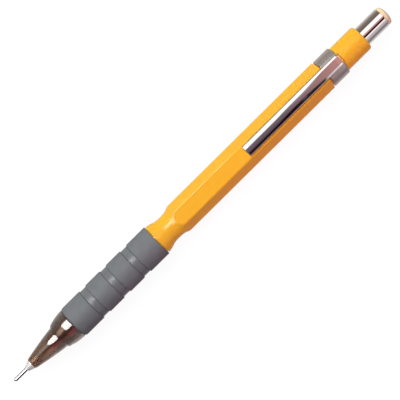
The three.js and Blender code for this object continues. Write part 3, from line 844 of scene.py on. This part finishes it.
def eraser_cup():
    front, back, radius = span("eraser_holder")
    outline = soften([
        (CUP_FRONT, 0), (CUP_FRONT, CUP_PLUG_RADIUS), (front, CUP_PLUG_RADIUS, 0.05), (front, 1.5, 0.2),
        (CUP_SHOULDER, 1.55), (CUP_SHOULDER, radius, 0.1), (CUP_GROOVE - 0.15, radius, 0.1),
        (CUP_GROOVE, radius - 0.12, 0.1), (CUP_GROOVE + 0.15, radius, 0.1), (back, radius, 0.08),
        (back, CUP_BORE, 0.04), (CUP_FLOOR, CUP_BORE), (CUP_FLOOR, 0),
    ])
    stands_for(spin("eraser_cup", outline, even(96)), "eraser_holder", STEEL)


def eraser_rod():
    front, back, radius = span("eraser")
    outline = soften([(front, 0), (front, radius, 0.15), (back, radius, 0.55), (back, 0)], 8)
    stands_for(spin("eraser_rod", outline, even(96)), "eraser", ERASER_WHITE)


def chuck_jaws():
    """The jaws keep their own meshes."""
    for node in ("chuck_jaw_1", "chuck_jaw_2", "chuck_jaw_3"):
        slots = frame["nodes"][node].data.materials
        slots.clear()
        slots.append(BRASS)


lead_pipe()
tip_shell()
retainer()
nose_shell()
grip()
barrel_shell()
insert_bush()
ring_band()
tail_shell()
clip_strip()
simple_tube("stem", "chuck_stem", STEM_BORE, BRASS)
simple_tube("reservoir", "lead_tube", RESERVOIR_BORE, MILKY_PLASTIC)
guide_tube()
clutch()
connector()
lead("writing_lead", worn=0.14)
for number in (1, 2, 3):
    lead(f"spare_lead_{number}", worn=0.03)
spring()
button_tube()
button_dome()
eraser_cup()
eraser_rod()
chuck_jaws()


# ---------- floor, light and camera ----------

VIEW_TURN = math.radians(-44.72)  # the pencil's direction in the picture
VIEW_DISTANCE, VIEW_LENS = 413, 135
VIEW_STATION, VIEW_SIDE = 71.3, -0.52


FLOOR_HALF_WIDTH, FLOOR_GAP = 1.5, 0.00002  # metres; the gap keeps the floor clear of the pencil
FLOOR_EMISSION = 0.93
REAR_SIDE_SPREAD = math.radians(70)


def floor():
    mesh = bpy.data.meshes.new("floor")
    half = FLOOR_HALF_WIDTH
    corners = [(-half, -half, 0), (half, -half, 0), (half, half, 0), (-half, half, 0)]
    mesh.from_pydata(corners, [], [(0, 1, 2, 3)])
    plane = bpy.data.objects.new("floor", mesh)
    bpy.context.scene.collection.objects.link(plane)
    plane.location.z = cad_box[0].z - FLOOR_GAP
    s = Surface("floor", (0.12, 0.12, 0.12), 0.9, Specular_IOR_Level=0.0)
    s.set("Emission Color", (1, 1, 1, 1))
    s.set("Emission Strength", FLOOR_EMISSION)
    mesh.materials.append(s.material)
    plane.visible_glossy = False
    plane.visible_diffuse = False


def softbox(name, tilt, station, distance, width, length, power, color):
    """A rectangular light aimed at a station, tilted about the pencil towards +Y. Degrees, mm and watts."""
    angle = math.radians(tilt)
    away = Vector((0, math.sin(angle), math.cos(angle)))
    along = Vector((1, 0, 0))
    light = bpy.data.lights.new(name, "AREA")
    light.shape, light.size, light.size_y = "RECTANGLE", length * MM, width * MM
    light.energy, light.color = power, color
    lamp = bpy.data.objects.new(name, light)
    bpy.context.scene.collection.objects.link(lamp)
    turned = Matrix((along, away.cross(along), away)).transposed().to_4x4()
    lamp.matrix_world = Matrix.Translation(place(station, 0, 0) + away * distance * MM) @ turned
    return lamp


# name, tilt, station, distance, width, length, power, colour
SOFT_LIGHTS = (
    ("overhead", 35, 72, 600, 500, 700, 3.7, (1, 1, 1)),
    ("far_side", 72, 72, 500, 260, 600, 0.7, (1, 1, 1)),
    ("near_side_front", -62, 20, 300, 160, 200, 0.12, (1, 0.95, 0.95)),
    ("near_side_rear", -62, 112, 160, 60, 120, 0.0145, (1, 0.28, 0.6)),
)
WINDOWS = (
    ("window", 22, 30, 400, 150, 130, 0.74, (1, 1, 1)),
    ("nose_window", 22, -108, 400, 400, 136, 1.9, (1, 1, 1)),
)
RED_CARDS = (
    ("red_card", -32, 15, 400, 200, 150, 0.09, (1, 0.1, 0.25)),
    ("nose_red_card", -40, -122, 400, 260, 130, 0.11, (1, 0.1, 0.25)),
)


def lights():
    """Soft lights that gloss doesn't show, then windows and cards that only gloss shows."""
    soft = [softbox(*numbers) for numbers in SOFT_LIGHTS]
    for light in soft:
        light.visible_glossy = False
    soft[-1].data.spread = REAR_SIDE_SPREAD
    windows = [softbox(*numbers) for numbers in WINDOWS]
    cards = [softbox(*numbers) for numbers in RED_CARDS]
    for light in windows + cards:
        light.visible_diffuse = False
        light.visible_transmission = False
    for card in cards:
        card.light_linking.receiver_collection = NOSE_ONLY


# What glossy surfaces reflect, as (degrees, colour) round the pencil: 0 is overhead, positive is towards +Y.
# STUDIO_FRONT is what reflections towards the lead show, and STUDIO_REAR those towards the button.
BLACK, WHITE = (0.012, 0.004, 0.006), (1.2, 1.2, 1.2)
FAR_SIDE = [(12, WHITE), (43, WHITE), (48, (0.16, 0.13, 0.105)), (75, (0.2, 0.16, 0.13))]
NEAR_BELOW = [(-180, (0.5, 0.5, 0.5)), (-130, (0.7, 0.62, 0.62)), (-108, (0.2, 0.18, 0.18))]
FAR_BELOW = [(108, (0.3, 0.26, 0.24)), (130, (0.66, 0.6, 0.56)), (180, (0.5, 0.5, 0.5))]
STUDIO_FRONT = [
    *NEAR_BELOW, (-80, (0.13, 0.11, 0.12)), (-64, (0.3, 0.22, 0.23)), (-50, (0.4, 0.26, 0.27)), (-45, BLACK),
    (-22, BLACK), (-17, (0.13, 0.085, 0.11)), (9, (0.17, 0.14, 0.17)), *FAR_SIDE, *FAR_BELOW,
]
STUDIO_REAR = [
    *NEAR_BELOW, (-90, (0.24, 0.22, 0.22)), (-70, (0.52, 0.48, 0.49)), (-52, (0.62, 0.55, 0.55)),
    (-46, (1.1, 0.95, 0.95)), (-33, (1.1, 0.95, 0.95)), (-31, BLACK), (-14, BLACK), (-11, (0.6, 0.27, 0.24)),
    (2, (0.62, 0.29, 0.26)), (5, WHITE), *FAR_SIDE, *FAR_BELOW,
]
REAR_STARTS, REAR_IS_FULL = 0.07, 0.13  # how far towards +X a reflection points, from 0 to 1
AMBIENT = 0.16  # what all but glossy and camera rays see


def world():
    """White to the camera, the striped studio to glossy rays and a dim grey to all others."""
    made = bpy.data.worlds.new("studio")
    bpy.context.scene.world = made
    made.use_nodes = True
    made.cycles.sampling_method = "NONE"
    nodes, links = made.node_tree.nodes, made.node_tree.links

    def add(kind, *inputs, **settings):
        node = nodes.new("ShaderNode" + kind)
        for name, value in settings.items():
            setattr(node, name, value)
        for target, value in zip(node.inputs, inputs):
            if isinstance(value, bpy.types.NodeSocket):
                links.new(value, target)
            else:
                target.default_value = value
        return node

    def mixed(share, first, second):
        mix = add("Mix", data_type="RGBA")
        links.new(share, mix.inputs["Factor"])
        colors = [socket for socket in mix.inputs if socket.type == "RGBA"]
        for value, target in zip((first, second), colors):
            if isinstance(value, bpy.types.NodeSocket):
                links.new(value, target)
            else:
                target.default_value = (value, value, value, 1)
        return mix.outputs[2]

    def ramp(share, colors):
        node = add("ValToRGB", share)
        stops = node.color_ramp.elements
        while len(stops) < len(colors):
            stops.new(0.5)
        for stop, (degrees, color) in zip(stops, colors):
            stop.position = degrees / 360 + 0.5
            stop.color = (*color, 1)
        return node.outputs["Color"]

    split = add("SeparateXYZ", add("TexCoord").outputs["Generated"])
    angle = add("Math", split.outputs["Y"], split.outputs["Z"], operation="ARCTAN2")
    share = add("MapRange", angle.outputs[0], -math.pi, math.pi).outputs["Result"]
    rearward = add("MapRange", split.outputs["X"], REAR_STARTS, REAR_IS_FULL).outputs["Result"]
    studio = mixed(rearward, ramp(share, STUDIO_FRONT), ramp(share, STUDIO_REAR))
    path = add("LightPath")
    seen = mixed(path.outputs["Is Glossy Ray"], AMBIENT, studio)
    links.new(mixed(path.outputs["Is Camera Ray"], seen, 1.0), nodes["Background"].inputs["Color"])


def camera():
    data = bpy.data.cameras.new("camera")
    data.lens = VIEW_LENS
    data.clip_start, data.clip_end = 0.01, 10
    made = bpy.data.objects.new("camera", data)
    bpy.context.scene.collection.objects.link(made)
    made.location = place(VIEW_STATION, VIEW_SIDE, VIEW_DISTANCE)
    made.rotation_euler = (0, 0, VIEW_TURN)
    bpy.context.scene.camera = made


floor()
world()
lights()
camera()
bpy.context.scene.view_settings.view_transform = "Standard"
